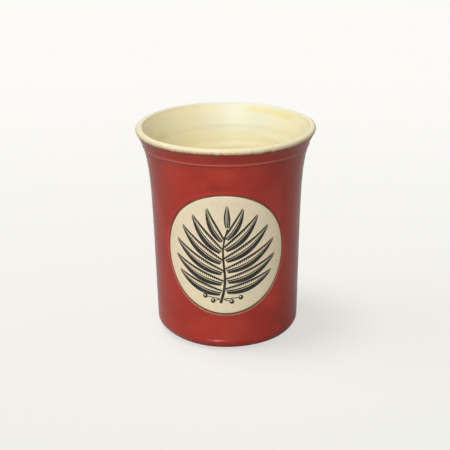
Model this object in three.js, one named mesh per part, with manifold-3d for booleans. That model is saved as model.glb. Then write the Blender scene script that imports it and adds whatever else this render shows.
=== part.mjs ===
// A handleless stoneware mug. One thrown and turned clay body with a flared lip is glazed cream inside and
// over the lip and red outside, and a round clay medallion is bedded in slip in the front of its wall.
// Millimetres, +Z up, foot on Z = 0, axis of the pot on Z, medallion facing -Y.
import * as THREE from "three";
import { mergeVertices } from "three/addons/utils/BufferGeometryUtils.js";
import Module from "manifold-3d";

// Pot
const HEIGHT = 108; // table to the top of the lip
const LIP_DIAMETER = 90.3; // over the widest circle of the lip
const LIP_ROUND = 1.6; // radius of the rounded lip
const LIP_TILT = 31; // degrees that the wall leans out where it meets the rounded lip
const THROAT_DIAMETER = 77.4; // line of the straight wall, carried up to the lip
const FOOT_DIAMETER = 72.9; // line of the straight wall, carried down to the table
const FLOOR_WALL = 5.4; // thickness of the glazed wall at the floor, thinning evenly to the lip
const FLOOR_HEIGHT = 7; // table to the glazed inside floor
const FLOOR_ROUND = 9; // radius of the inside corner

// Foot
const FOOT_ROUND = 6; // radius of the clay's outer corner
const FOOT_RING_WIDTH = 5.5; // flat ring that stands on the table
const FOOT_RECESS = 1.8; // how far the middle of the underside is turned up
const FOOT_BEVEL = 2.2; // sloped step from the ring to the recess

// Glazes
const GLAZE = 0.5; // thickness of either coat
const GLAZE_LINE = 0.8; // height at which the red coat stops above the table

// Turned ridge under the flare, with a groove below it
const RIDGE_DROP = 8.6; // from the top of the lip down to the crest
const RIDGE_RISE = 0.35; // the crest stands out this far, and the groove is as deep
const RIDGE_HALF = 0.6; // half the width of the crest or of the groove

// Medallion, measured along the wall
const MEDALLION_DIAMETER = 62;
const MEDALLION_CENTRE = 52.1; // height of its middle
const MEDALLION_THICKNESS = 1.4;
const MEDALLION_PROUD = 0.9; // its face above the clay of the wall
const SLIP_THICKNESS = 0.3;
const OUTLINE_WIDTH = 0.6; // ring of brown stain round the medallion
const OUTLINE_THICKNESS = 0.3;
const EDGE_GAP = 0.15; // round each piece, sideways
const BED_GAP = 0.2; // between a piece and what it lies on

// Fineness of the facets
const ROUND_SIDES = 48; // round the pot, and round the medallion
const WALL_STEPS = 8;
const FOOT_STEPS = 3;
const CORNER_STEPS = 4;
const LIP_STEPS = 2; // in each third of the rounded lip
const DISC_STEPS = 5;

// Outside of the glazed wall: a straight line that leans a little, and a flare that grows up to the lip
const lipCentre = new THREE.Vector2(LIP_DIAMETER / 2 - LIP_ROUND, HEIGHT - LIP_ROUND);
const lipTilt = THREE.MathUtils.degToRad(LIP_TILT);
const flareTop = lipCentre.y - LIP_ROUND * Math.sin(lipTilt);
const wallLean = (THROAT_DIAMETER - FOOT_DIAMETER) / 2 / flareTop;
const flareOut = lipCentre.x + LIP_ROUND * Math.cos(lipTilt) - THROAT_DIAMETER / 2;
const flareLength = flareOut / (Math.tan(lipTilt) - wallLean);
const ridgeHeight = HEIGHT - RIDGE_DROP;

function flareAt(height) {
  return flareOut * Math.exp((height - flareTop) / flareLength);
}

function smoothRadius(height) {
  return FOOT_DIAMETER / 2 + wallLean * height + flareAt(height);
}

// A smooth bump, one at its middle and zero beyond its half width
function bump(distance, half) {
  const share = Math.min(Math.abs(distance) / half, 1);
  return (1 + Math.cos(Math.PI * share)) / 2;
}

function ridgeAt(height) {
  const crest = bump(height - ridgeHeight, RIDGE_HALF);
  const groove = bump(height - ridgeHeight + 2 * RIDGE_HALF, RIDGE_HALF);
  return RIDGE_RISE * (crest - groove);
}

// A skin is a list of surface points, each with the direction that faces away from the clay
function skinPoint(x, y, outX, outY) {
  return { at: new THREE.Vector2(x, y), out: new THREE.Vector2(outX, outY) };
}

function arcPoint(centre, radius, angle, facing = 1) {
  const outX = Math.cos(angle);
  const outY = Math.sin(angle);
  return skinPoint(centre.x + radius * outX, centre.y + radius * outY, facing * outX, facing * outY);
}

function arcPoints(centre, radius, from, to, steps, facing = 1) {
  const points = [];
  for (let i = 0; i <= steps; i += 1) {
    points.push(arcPoint(centre, radius, THREE.MathUtils.lerp(from, to, i / steps), facing));
  }
  return points;
}

function wallPoint(height) {
  const tilt = Math.atan(wallLean + flareAt(height) / flareLength);
  return skinPoint(smoothRadius(height) + ridgeAt(height), height, Math.cos(tilt), -Math.sin(tilt));
}

function insidePoint(height) {
  const thickness = THREE.MathUtils.mapLinear(height, FLOOR_HEIGHT, flareTop, FLOOR_WALL, 2 * LIP_ROUND);
  const tilt = Math.atan(wallLean + flareAt(height) / flareLength);
  const outX = -Math.cos(tilt);
  const outY = Math.sin(tilt);
  return skinPoint(smoothRadius(height) + thickness * outX, height + thickness * outY, outX, outY);
}

// Heights that crowd towards the lip, where the wall curves most
function wallHeights(bottom) {
  const heights = [];
  for (let i = WALL_STEPS; i >= 0; i -= 1) {
    heights.push(THREE.MathUtils.lerp(flareTop, bottom, (i / WALL_STEPS) ** 2));
  }
  return heights;
}

// The outer corner of the foot is bare clay from the table up to the angle where the red coat starts
const footCentre = new THREE.Vector2(smoothRadius(FOOT_ROUND) - FOOT_ROUND - GLAZE, FOOT_ROUND);
const coatStart = -Math.asin((FOOT_ROUND - GLAZE_LINE) / (FOOT_ROUND + GLAZE));

function outsideSkin() {
  const foot = arcPoints(footCentre, FOOT_ROUND + GLAZE, coatStart, 0, FOOT_STEPS);
  const ridge = [-3, -2, -1, 0, 1].map((halves) => ridgeHeight + halves * RIDGE_HALF);
  const plain = wallHeights(FOOT_ROUND).slice(1);
  const below = plain.filter((height) => height < ridge[0]);
  const above = plain.filter((height) => height > ridge.at(-1));
  const heights = [...below, ...ridge, ...above];
  const lip = arcPoints(lipCentre, LIP_ROUND, -lipTilt, 0, LIP_STEPS).slice(1);
  return [...foot, ...heights.map(wallPoint), ...lip];
}

function insideSkin() {
  const cornerTop = insidePoint(FLOOR_HEIGHT + FLOOR_ROUND).at;
  const cornerCentre = new THREE.Vector2(cornerTop.x - FLOOR_ROUND, FLOOR_HEIGHT + FLOOR_ROUND);
  const corner = arcPoints(cornerCentre, FLOOR_ROUND, -Math.PI / 2, 0, CORNER_STEPS, -1);
  const wall = wallHeights(FLOOR_HEIGHT + FLOOR_ROUND).slice(1).map(insidePoint);
  const lipInside = arcPoints(lipCentre, LIP_ROUND, Math.PI - lipTilt, Math.PI / 2, LIP_STEPS).slice(1);
  const lipOutside = arcPoints(lipCentre, LIP_ROUND, Math.PI / 2, 0, LIP_STEPS).slice(1);
  return [skinPoint(0, FLOOR_HEIGHT, 0, 1), ...corner, ...wall, ...lipInside, ...lipOutside];
}

// Turns an outline round the pot's axis
function turned(outline) {
  return new THREE.LatheGeometry(outline, ROUND_SIDES).rotateX(Math.PI / 2);
}

const faceOf = (point) => point.at;
const clayUnder = (point) => point.at.clone().addScaledVector(point.out, -GLAZE);

// Clay body, red coat and cream coat share the points where they touch
const outside = outsideSkin();
const inside = insideSkin();
const outsideClay = outside.map(clayUnder);
const insideClay = inside.map(clayUnder).reverse();
const bareCorner = arcPoints(footCentre, FOOT_ROUND, -Math.PI / 2, coatStart, FOOT_STEPS - 1);
const bareFoot = bareCorner.slice(0, -1).map(faceOf);
const ringInside = footCentre.x - FOOT_RING_WIDTH;
const underside = [
  new THREE.Vector2(0, FOOT_RECESS),
  new THREE.Vector2(ringInside - FOOT_BEVEL, FOOT_RECESS),
  new THREE.Vector2(ringInside, 0),
];
const bodyOutline = [...underside, ...bareFoot, ...outsideClay, ...insideClay.slice(1)];
const redOutline = [...outside.map(faceOf), ...outsideClay.toReversed(), outside[0].at];
const creamOutline = [...insideClay.toReversed(), ...inside.map(faceOf).reverse()];

// Medallion pieces are turned flat, as discs and rings, then bent round the wall, with the face's width kept
const faceRadius = smoothRadius(MEDALLION_CENTRE) - GLAZE + MEDALLION_PROUD;
const medallionRadius = MEDALLION_DIAMETER / 2;
const medallionBack = MEDALLION_PROUD - MEDALLION_THICKNESS;
const slipFace = medallionBack - BED_GAP;
const slipBack = slipFace - SLIP_THICKNESS;
const seatDepth = slipBack - BED_GAP;
const outlineInside = medallionRadius + 2 * EDGE_GAP;
const outlineOutside = outlineInside + OUTLINE_WIDTH;
const outlineFace = BED_GAP + OUTLINE_THICKNESS;
const windowRadius = outlineOutside + EDGE_GAP;

function bent(geometry) {
  const place = geometry.getAttribute("position");
  for (let i = 0; i < place.count; i += 1) {
    const height = MEDALLION_CENTRE - place.getZ(i);
    const turn = place.getX(i) / faceRadius;
    const radius = smoothRadius(height) - GLAZE + place.getY(i);
    place.setXYZ(i, radius * Math.sin(turn), -radius * Math.cos(turn), height);
  }
  return geometry;
}

// A disc from its back to its face, both measured out from the clay of the wall
function bentDisc(radius, back, face) {
  const outline = [];
  for (let i = 0; i <= DISC_STEPS; i += 1) {
    outline.push(new THREE.Vector2((radius * i) / DISC_STEPS, back));
  }
  for (let i = DISC_STEPS; i >= 0; i -= 1) {
    outline.push(new THREE.Vector2((radius * i) / DISC_STEPS, face));
  }
  return bent(new THREE.LatheGeometry(outline, ROUND_SIDES));
}

function bentRing(inner, outer, back, face) {
  const corners = [
    [inner, back],
    [outer, back],
    [outer, face],
    [inner, face],
    [inner, back],
  ];
  const outline = corners.map(([x, y]) => new THREE.Vector2(x, y));
  return bent(new THREE.LatheGeometry(outline, ROUND_SIDES));
}

// Cuts one solid out of another
const wasm = await Module();
wasm.setup();

function solidOf(geometry) {
  const bare = geometry.clone();
  bare.deleteAttribute("normal");
  bare.deleteAttribute("uv");
  const merged = mergeVertices(bare, 1e-3);
  const vertProperties = new Float32Array(merged.getAttribute("position").array);
  const triVerts = new Uint32Array(merged.index.array);
  return new wasm.Manifold(new wasm.Mesh({ numProp: 3, vertProperties, triVerts }));
}

function cut(geometry, tool) {
  const result = solidOf(geometry).subtract(solidOf(tool)).getMesh();
  const made = new THREE.BufferGeometry();
  made.setAttribute("position", new THREE.BufferAttribute(result.vertProperties, 3));
  made.setIndex(new THREE.BufferAttribute(result.triVerts, 1));
  made.computeVertexNormals();
  return made;
}

const clearOfWall = MEDALLION_PROUD + GLAZE; // a cutter reaches this far out, past every coat
const seatCutter = bentDisc(medallionRadius + EDGE_GAP, seatDepth, clearOfWall);
const windowCutter = bentDisc(windowRadius, slipBack, clearOfWall);

const stoneware = new THREE.MeshStandardMaterial({ color: 0xcbb497, roughness: 0.85, metalness: 0 });
const creamGlaze = new THREE.MeshStandardMaterial({ color: 0xefe3b4, roughness: 0.3, metalness: 0 });
const redGlaze = new THREE.MeshStandardMaterial({ color: 0xa83c32, roughness: 0.3, metalness: 0 });
const medallionClay = new THREE.MeshStandardMaterial({ color: 0xdfd2b0, roughness: 0.5, metalness: 0 });
const slipClay = new THREE.MeshStandardMaterial({ color: 0xb89c7c, roughness: 0.9, metalness: 0 });
const brownStain = new THREE.MeshStandardMaterial({ color: 0x6a4a36, roughness: 0.5, metalness: 0 });

const mug = new THREE.Group();

function addPiece(name, geometry, material) {
  const piece = new THREE.Mesh(geometry, material);
  piece.name = name;
  mug.add(piece);
}

addPiece("clay_body", cut(turned(bodyOutline), seatCutter), stoneware);
addPiece("cream_liner", turned(creamOutline), creamGlaze);
addPiece("red_coat", cut(turned(redOutline), windowCutter), redGlaze);
addPiece("slip_bed", bentDisc(medallionRadius, slipBack, slipFace), slipClay);
addPiece("medallion", bentDisc(medallionRadius, medallionBack, MEDALLION_PROUD), medallionClay);
addPiece("outline_stain", bentRing(outlineInside, outlineOutside, BED_GAP, outlineFace), brownStain);

export default mug;
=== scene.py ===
# %% [markdown]
# # A handleless stoneware mug
# The real mug was thrown on a wheel, turned, and given a flat clay medallion on its front. It was then
# glazed cream inside and red outside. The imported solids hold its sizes. This lesson keeps those sizes and
# makes the surfaces: smooth glazes that roll and pool, a lip that isn't quite true, and a print in dark
# stain on the medallion.

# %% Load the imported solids
import math
from collections import namedtuple

import bmesh
import bpy
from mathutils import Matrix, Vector, noise


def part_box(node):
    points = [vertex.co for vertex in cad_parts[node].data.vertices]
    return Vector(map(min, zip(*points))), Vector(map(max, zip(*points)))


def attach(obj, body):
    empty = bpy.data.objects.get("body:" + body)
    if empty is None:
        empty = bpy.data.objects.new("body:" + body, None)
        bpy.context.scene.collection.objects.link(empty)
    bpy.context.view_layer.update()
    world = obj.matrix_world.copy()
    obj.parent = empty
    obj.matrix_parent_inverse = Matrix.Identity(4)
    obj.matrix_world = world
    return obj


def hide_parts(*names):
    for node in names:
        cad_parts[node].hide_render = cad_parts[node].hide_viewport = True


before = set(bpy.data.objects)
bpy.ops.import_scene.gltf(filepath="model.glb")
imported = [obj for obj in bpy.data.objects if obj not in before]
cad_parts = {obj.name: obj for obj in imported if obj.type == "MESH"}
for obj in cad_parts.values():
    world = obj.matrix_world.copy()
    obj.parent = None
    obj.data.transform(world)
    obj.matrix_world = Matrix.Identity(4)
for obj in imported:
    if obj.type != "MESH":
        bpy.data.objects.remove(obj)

MM = 0.001
FULL_TURN = 2 * math.pi
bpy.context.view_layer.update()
print("solids:", sorted(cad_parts))

# %% [markdown]
# ## The line of the wall
# A thrown wall is one line turned round an axis. Here it leans out a little from the foot, then flares
# like a trumpet into a rounded lip. The line could be drawn by hand as a curve, but it would only come
# close to the solids. So the overall sizes are read from the solids, the rest follows from the same
# formula as theirs, and the fine surfaces lie exactly where the plain ones do.

# %% Sizes of the pot
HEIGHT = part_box("cream_liner")[1].z
LIP_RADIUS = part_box("red_coat")[1].x
LIP_ROUND = 1.6 * MM
LIP_TILT = math.radians(31)
THROAT_RADIUS = 38.7 * MM
FOOT_RADIUS = 36.45 * MM

LIP_CENTRE = Vector((LIP_RADIUS - LIP_ROUND, HEIGHT - LIP_ROUND))
FLARE_TOP = LIP_CENTRE.y - LIP_ROUND * math.sin(LIP_TILT)
WALL_LEAN = (THROAT_RADIUS - FOOT_RADIUS) / FLARE_TOP
FLARE_OUT = LIP_CENTRE.x + LIP_ROUND * math.cos(LIP_TILT) - THROAT_RADIUS
FLARE_LENGTH = FLARE_OUT / (math.tan(LIP_TILT) - WALL_LEAN)


def flare_at(height):
    return FLARE_OUT * math.exp((height - FLARE_TOP) / FLARE_LENGTH)


def wall_radius(height):
    """The radius of the glazed outside."""
    return FOOT_RADIUS + WALL_LEAN * height + flare_at(height)


def wall_tilt(height):
    """How far the glazed outside leans out there, as an angle."""
    return math.atan(WALL_LEAN + flare_at(height) / FLARE_LENGTH)


print(f"height {HEIGHT / MM:.1f} mm, lip radius {LIP_RADIUS / MM:.2f} mm, flare {FLARE_LENGTH / MM:.2f} mm")

# %% [markdown]
# ## The camera
# The photograph was taken from a little above, with a long lens, so that the sides hardly converge. A
# camera could be moved by eye until the mug fits. Here it is set by its angles, its distance and its
# lens, all measured from the mug's outline. It comes first because every later choice is judged through
# it.

# %% Camera
VIEW_TURN = math.radians(1.31)
VIEW_RISE = math.radians(20.67)
VIEW_ROLL = math.radians(0.66)
VIEW_DISTANCE = 594 * MM
VIEW_HEIGHT = 53.94 * MM
VIEW_SIDE = -0.84 * MM
LENS = 91.9
SENSOR = 36


def put_in_scene(name, data):
    made = bpy.data.objects.new(name, data)
    bpy.context.scene.collection.objects.link(made)
    return made


def place_camera():
    camera = put_in_scene("camera", bpy.data.cameras.new("camera"))
    camera.data.lens = LENS
    camera.data.sensor_width = SENSOR
    across = Vector((math.cos(VIEW_TURN), math.sin(VIEW_TURN), 0))
    back = Vector((math.sin(VIEW_TURN), -math.cos(VIEW_TURN), 0))
    up = Vector((0, 0, 1))
    target = across * VIEW_SIDE + up * VIEW_HEIGHT
    away = back * math.cos(VIEW_RISE) + up * math.sin(VIEW_RISE)
    camera.location = target + away * VIEW_DISTANCE
    camera.rotation_euler = away.to_track_quat("Z", "Y").to_euler()
    camera.rotation_euler.rotate_axis("Z", -VIEW_ROLL)
    bpy.context.scene.camera = camera
    return camera


print("camera at", [round(x, 4) for x in place_camera().location])

# %% [markdown]
# ## Tools for turned pieces
# Nearly every piece here is turned round the axis. The Screw modifier could turn an outline in one step.
# Mesh code is chosen instead, because each point can then be moved a little, as a hand moves clay. An
# outline is a list of stations, each with a radius, a height and the direction that faces out of the
# clay. Two small curves do most of the shaping: a bump that rises and falls, and a fade from zero to one.

# %% Stations along an outline
TINY = 1e-9
UP = (0, 1)
DOWN = (0, -1)
Station = namedtuple("Station", "radius height out_radius out_height")


def lifted(place, lift):
    """The station moved that far out of the clay."""
    radius = place.radius + place.out_radius * lift
    height = place.height + place.out_height * lift
    return Station(radius, height, place.out_radius, place.out_height)


def arc_stations(centre, radius, start, end, steps, facing=1):
    """Stations along a round corner. A facing of minus one turns them to its hollow side."""
    made = []
    for i in range(steps + 1):
        angle = start + (end - start) * i / steps
        across, up = math.cos(angle), math.sin(angle)
        at = (centre.x + radius * across, centre.y + radius * up)
        made.append(Station(*at, facing * across, facing * up))
    return made


def spaced(start, end, step):
    """Even values from start to end, no further apart than the step."""
    count = max(1, math.ceil(abs(end - start) / step - TINY))
    return [start + (end - start) * i / count for i in range(count + 1)]


half_lip = arc_stations(LIP_CENTRE, LIP_ROUND, 0, math.pi / 2, steps=3)
print("heights round half the lip, mm:", [round(place.height / MM, 2) for place in half_lip])

# %% A pot that isn't quite true
FLOOR_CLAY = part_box("cream_liner")[0].z
OUT_OF_TRUE = 0.12 * MM
OVAL_PHASE = 0.7
WAVE_PHASE = 2.1
FOOT_TRIM = 0.024
FOOT_TRIM_TURN = math.radians(-50)
FOOT_TRIM_SPAN = math.radians(42)
FOOT_TRIM_FADE = (1 * MM, FLOOR_CLAY)
LIP_DIP = 0.5 * MM
LIP_DIP_TURN = math.radians(124)
LIP_DIP_SPAN = math.radians(34)
LIP_DIP_FADE = (FLARE_TOP - 2 * FLARE_LENGTH, FLARE_TOP)


def bump(distance, half):
    """One at no distance, easing down to zero at that half width."""
    share = min(abs(distance) / half, 1)
    return (1 + math.cos(math.pi * share)) / 2


def fade(value, start, end):
    """Eases from zero at the start to one at the end."""
    share = min(max((value - start) / (end - start), 0), 1)
    return share * share * (3 - 2 * share)


def turn_bump(turn, middle, span):
    """One at that middle round the pot, easing down to zero a span to either side."""
    return bump(math.remainder(turn - middle, FULL_TURN), span)


def turned_point(place, turn, lift):
    """A point off a station, on a pot with a deep trim at its foot, and a swaying, dipping lip."""
    radius, height, _, _ = lifted(place, lift)
    trim = turn_bump(turn, FOOT_TRIM_TURN, FOOT_TRIM_SPAN) * (1 - fade(height, *FOOT_TRIM_FADE))
    radius *= 1 - FOOT_TRIM * trim
    sway = OUT_OF_TRUE * fade(height, 0, HEIGHT)
    radius += sway * math.sin(2 * turn + OVAL_PHASE)
    height += sway * math.sin(3 * turn + WAVE_PHASE)
    dip = turn_bump(turn, LIP_DIP_TURN, LIP_DIP_SPAN) * fade(height, *LIP_DIP_FADE)
    height -= LIP_DIP * dip
    return Vector((radius * math.sin(turn), -radius * math.cos(turn), height))


print(f"the lip sways by {OUT_OF_TRUE / MM:.2f} mm and dips by {LIP_DIP / MM:.1f} mm at the back right")

# %% Closed meshes
def make_piece(name, points, faces, marks=None, smooth=True):
    """A closed mesh whose faces point out. Marks are named lists with one number per point."""
    mesh = bpy.data.meshes.new(name)
    mesh.from_pydata([tuple(point) for point in points], [], faces)
    for mark, values in (marks or {}).items():
        mesh.attributes.new(mark, "FLOAT", "POINT").data.foreach_set("value", values)
    work = bmesh.new()
    work.from_mesh(mesh)
    bmesh.ops.recalc_face_normals(work, faces=work.faces)
    for face in work.faces:
        face.smooth = smooth
    loose = sum(1 for edge in work.edges if not edge.is_manifold)
    work.to_mesh(mesh)
    work.free()
    piece = put_in_scene(name, mesh)
    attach(piece, "root")
    print(f"{name}: {len(mesh.vertices)} points, {len(mesh.polygons)} faces, {loose} open edges")
    return piece


# %% Turned pieces
COLUMNS = 192


def strip_faces(first, second):
    """Faces between two rows that run once round. A row that repeats one point closes to a tip."""
    made = []
    for j in range(len(first)):
        k = (j + 1) % len(first)
        corners = [first[j], first[k], second[k], second[j]]
        made.append(list(dict.fromkeys(corners)))
    return made


def row_faces(rows, closed):
    """Faces between each row and the next, and from the last to the first if the rows close."""
    faces = []
    for i in range(len(rows) if closed else len(rows) - 1):
        faces += strip_faces(rows[i], rows[(i + 1) % len(rows)])
    return faces


def turned_piece(name, outline, lift_at, markers=None, columns=COLUMNS):
    """Turns stations round the axis. A first or last station on the axis closes to one point."""
    points, rows = [], []
    marks = {mark: [] for mark in markers or {}}
    for number, place in enumerate(outline):
        count = 1 if place.radius < TINY else columns
        rows.append([len(points) + j for j in range(count)] * (columns // count))
        for j in range(count):
            turn = FULL_TURN * j / columns
            points.append(turned_point(place, turn, lift_at(number, place, turn)))
            for mark, values in marks.items():
                values.append(markers[mark](place, turn))
    faces = row_faces(rows, closed=outline[0].radius > TINY)
    return make_piece(name, points, faces, marks)


column_width = FULL_TURN * LIP_RADIUS / COLUMNS
print(f"a turned piece has {COLUMNS} columns, {column_width / MM:.2f} mm wide at the lip")

# %% [markdown]
# ## The hand of the potter
# A wheel leaves a faint spiral of finger rings, a fraction of a millimetre deep, and they make
# reflections wander on a handmade pot. A bump in the material could hint at them, but then the mesh would
# be smooth. So they move the points: two waves that climb the wall, bent by Blender's own noise, which
# gives the same value at the same place every time.

# %% Finger rings
RING_PITCH = 6.2 * MM
RING_DRIFT = 2.6
RING_PRESS = 0.7
DRIFT_SIZE = 20 * MM
PRESS_SIZE = 8 * MM
PRESS_SEED = 5
NARROW_RINGS = 2.3
NARROW_DRIFT = 4
NARROW_PRESS = 0.5
NARROW_SHARE = 0.3


def noise_round(turn, reach, level):
    """Noise that meets itself after a full turn. A longer reach gives shorter waves."""
    return noise.noise(Vector((reach * math.cos(turn), reach * math.sin(turn), level)))


def finger_rings(turn, height, seed):
    """How far the wall swells or dips there, about one at most: broad rings with narrow ones among them."""
    drift = noise_round(turn, reach=1, level=height / DRIFT_SIZE + seed)
    press = noise_round(turn, reach=1, level=height / PRESS_SIZE + seed + PRESS_SEED)
    climb = FULL_TURN * height / RING_PITCH
    broad = math.sin(climb + turn + RING_DRIFT * drift)
    narrow = math.sin(NARROW_RINGS * climb + 2 * turn + NARROW_DRIFT * drift)
    return broad * (RING_PRESS + press) + NARROW_SHARE * narrow * (NARROW_PRESS + drift)


print(f"a finger ring every {RING_PITCH / MM:.1f} mm")

# %% [markdown]
# ## The clay body
# The clay shows only where no glaze was put: the flat foot ring and the shallow recess that was turned
# under it. The rest is the wall inside the glazes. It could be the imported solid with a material, but that
# solid is faceted. So the pot is turned again from one closed outline, finely, and a spiral is cut into
# its underside as a turning tool leaves it.

# %% Stations on both sides of the wall
GLAZE = 0.5 * MM
FLOOR = FLOOR_CLAY + GLAZE
FLOOR_WALL = 5.4 * MM
FLOOR_ROUND = 9 * MM


def wall_station(height, lift=0.0):
    """A station on the glazed outside, or that far out of it."""
    tilt = wall_tilt(height)
    return lifted(Station(wall_radius(height), height, math.cos(tilt), -math.sin(tilt)), lift)


def inside_station(height, lift=0.0):
    """The station across the wall from a height outside, on the glazed inside, or that far out of it."""
    share = (height - FLOOR) / (FLARE_TOP - FLOOR)
    thickness = FLOOR_WALL + (2 * LIP_ROUND - FLOOR_WALL) * share
    tilt = wall_tilt(height)
    return lifted(Station(wall_radius(height), height, -math.cos(tilt), math.sin(tilt)), thickness + lift)


def inside_corner(lift, steps):
    """The round corner between the inside floor and the wall."""
    top = inside_station(FLOOR + FLOOR_ROUND)
    centre = Vector((top.radius - FLOOR_ROUND, FLOOR + FLOOR_ROUND))
    return arc_stations(centre, FLOOR_ROUND - lift, -math.pi / 2, 0, steps, facing=-1)


print(f"inside radius at the floor's corner {inside_station(FLOOR + FLOOR_ROUND).radius / MM:.1f} mm")

# %% Outline of the clay
FOOT_ROUND = 6 * MM
FOOT_CENTRE = Vector((wall_radius(FOOT_ROUND) - FOOT_ROUND - GLAZE, FOOT_ROUND))
FOOT_RING_WIDTH = 5.5 * MM
FOOT_BEVEL = 2.2 * MM
BEVEL_STEP = 0.1
FOOT_RECESS = 1.8 * MM
RECESS_START = 0.4 * MM
RECESS_ROUND = 0.5 * MM
RECESS_STEP = 0.3 * MM
CLAY_STEP = 5 * MM


def underside_outline():
    """From the axis along the recess and down its bevel to the middle of the flat ring."""
    ring_inside = FOOT_CENTRE.x - FOOT_RING_WIDTH
    recess_edge = ring_inside - FOOT_BEVEL
    made = [Station(0, FOOT_RECESS, *DOWN)]
    for radius in spaced(RECESS_START, recess_edge - RECESS_ROUND, RECESS_STEP):
        made.append(Station(radius, FOOT_RECESS, *DOWN))
    for share in spaced(0, 1, BEVEL_STEP):
        height = FOOT_RECESS * (1 - fade(share, 0, 1))
        made.append(Station(recess_edge + FOOT_BEVEL * share, height, *DOWN))
    made.append(Station(ring_inside + FOOT_RING_WIDTH / 2, 0, *DOWN))
    return made


def clay_outline():
    foot = arc_stations(FOOT_CENTRE, FOOT_ROUND, -math.pi / 2, 0, steps=12)
    outside = [wall_station(z, -GLAZE) for z in spaced(FOOT_ROUND, FLARE_TOP, CLAY_STEP)[1:]]
    lip = arc_stations(LIP_CENTRE, LIP_ROUND - GLAZE, -LIP_TILT, math.pi - LIP_TILT, steps=10)[1:]
    inside = [inside_station(z, -GLAZE) for z in spaced(FLARE_TOP, FLOOR + FLOOR_ROUND, CLAY_STEP)[1:]]
    corner = inside_corner(-GLAZE, steps=8)[::-1][1:]
    middle = [Station(0, FLOOR_CLAY, *UP)]
    return underside_outline() + foot + outside + lip + inside + corner + middle


print(f"{len(clay_outline())} stations round the clay, {len(underside_outline())} of them underneath")

# %% Clay body
TOOL_PITCH = 1.5 * MM
TOOL_DEPTH = 0.12 * MM
TOOL_START = 4 * MM


def tool_marks(number, place, turn):
    """A spiral groove in the recess, which fades out towards its middle."""
    in_recess = place.out_height == -1 and place.height >= FOOT_RECESS / 2
    if not in_recess:
        return 0
    groove = math.sin(FULL_TURN * place.radius / TOOL_PITCH - turn)
    return -TOOL_DEPTH * (0.5 + 0.5 * groove) * fade(place.radius, 0, TOOL_START)


clay = turned_piece("clay_body_turned", clay_outline(), tool_marks)

# %% [markdown]
# ## Bending round the wall, and the seat
# The medallion was rolled flat, cut round and pressed onto the wall, which left a shallow seat in the
# clay. A Shrinkwrap modifier could lay a flat disc on the wall, but it would stretch it. Here the pieces
# are drawn flat, as a distance along the wall and a height, and one function bends them at their true
# width. A boolean with a bent disc presses the seat. It leaves a few points almost on each other, so they
# are welded.

# %% Bent discs and rings
medallion_low, medallion_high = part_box("medallion")
MEDALLION_RADIUS = (medallion_high.z - medallion_low.z) / 2
MEDALLION_CENTRE = (medallion_high.z + medallion_low.z) / 2
MEDALLION_PROUD = 0.4 * MM
FACE_RADIUS = wall_radius(MEDALLION_CENTRE) + MEDALLION_PROUD
AROUND = 144


def on_wall(along, rise, lift):
    """A point that far along the wall from the medallion's middle, above it, and off the red surface."""
    return turned_point(wall_station(MEDALLION_CENTRE + rise), along / FACE_RADIUS, lift)


def bent_piece(name, outline, wave=None):
    """Turns (distance from the middle, lift) pairs into a disc, or a ring if they close, and bends it."""
    points, rows = [], []
    for out, lift in outline:
        count = 1 if out == 0 else AROUND
        rows.append([len(points) + j for j in range(count)] * (AROUND // count))
        for j in range(count):
            turn = FULL_TURN * j / AROUND
            extra = wave(out, turn) if wave else 0
            points.append(on_wall(out * math.cos(turn), out * math.sin(turn), lift + extra))
    return make_piece(name, points, row_faces(rows, closed=outline[0][0] > 0))


print(f"medallion {2 * MEDALLION_RADIUS / MM:.1f} mm across, its middle {MEDALLION_CENTRE / MM:.1f} mm up")

# %% Seat in the clay
EDGE_GAP = 0.15 * MM
SEAT_DEPTH = -1.7 * MM
SEAT_MOUTH = 3 * GLAZE
WELD = 0.005 * MM


def press_seat():
    outs = (0, MEDALLION_RADIUS / 2, MEDALLION_RADIUS + EDGE_GAP)
    bottom = [(out, SEAT_DEPTH) for out in outs]
    mouth = [(out, SEAT_MOUTH) for out in outs[::-1]]
    cutter = bent_piece("seat_cutter", bottom + mouth)
    cut = clay.modifiers.new("seat", "BOOLEAN")
    cut.object = cutter
    cut.solver = "EXACT"
    bpy.context.view_layer.objects.active = clay
    bpy.ops.object.modifier_apply(modifier=cut.name)
    bpy.data.objects.remove(cutter)


def weld_points():
    """Joins points that almost touch, and drops those that only split an edge in two."""
    work = bmesh.new()
    work.from_mesh(clay.data)
    bmesh.ops.remove_doubles(work, verts=work.verts, dist=WELD)
    bmesh.ops.dissolve_degenerate(work, edges=work.edges, dist=WELD)
    spare = [point for point in work.verts if len(point.link_edges) == 2]
    bmesh.ops.dissolve_verts(work, verts=spare)
    work.to_mesh(clay.data)
    work.free()


press_seat()
weld_points()
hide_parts("clay_body")
print("clay with its seat:", len(clay.data.polygons), "faces")

# %% [markdown]
# ## The cream liner
# The inside was glazed by pouring, and the glaze was brought over the lip, where it laps over the red by
# about a millimetre. Finger rings show through it. The coat could be a colour on the clay, but a poured
# coat has a real edge. So it is one closed outline, which thins to nothing where it laps, and the line
# where it ends wanders as a dipped edge does. Each point also stores where the glaze pooled, where it is
# faintly tan, where painted shade darkens the crest and where a painted sheen lies high on the back,
# which the finish later turns into colour.

# %% Outline of the cream liner
LAP_RUN = 0.7 * MM
LAP_SEAT = math.radians(6)
LAP_STEP = 0.1 * MM
CREAM_FLOOR_STEP = 1.5 * MM
CREAM_WALL_STEP = 1 * MM
CREAM_BACK_STEP = 6 * MM


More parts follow.
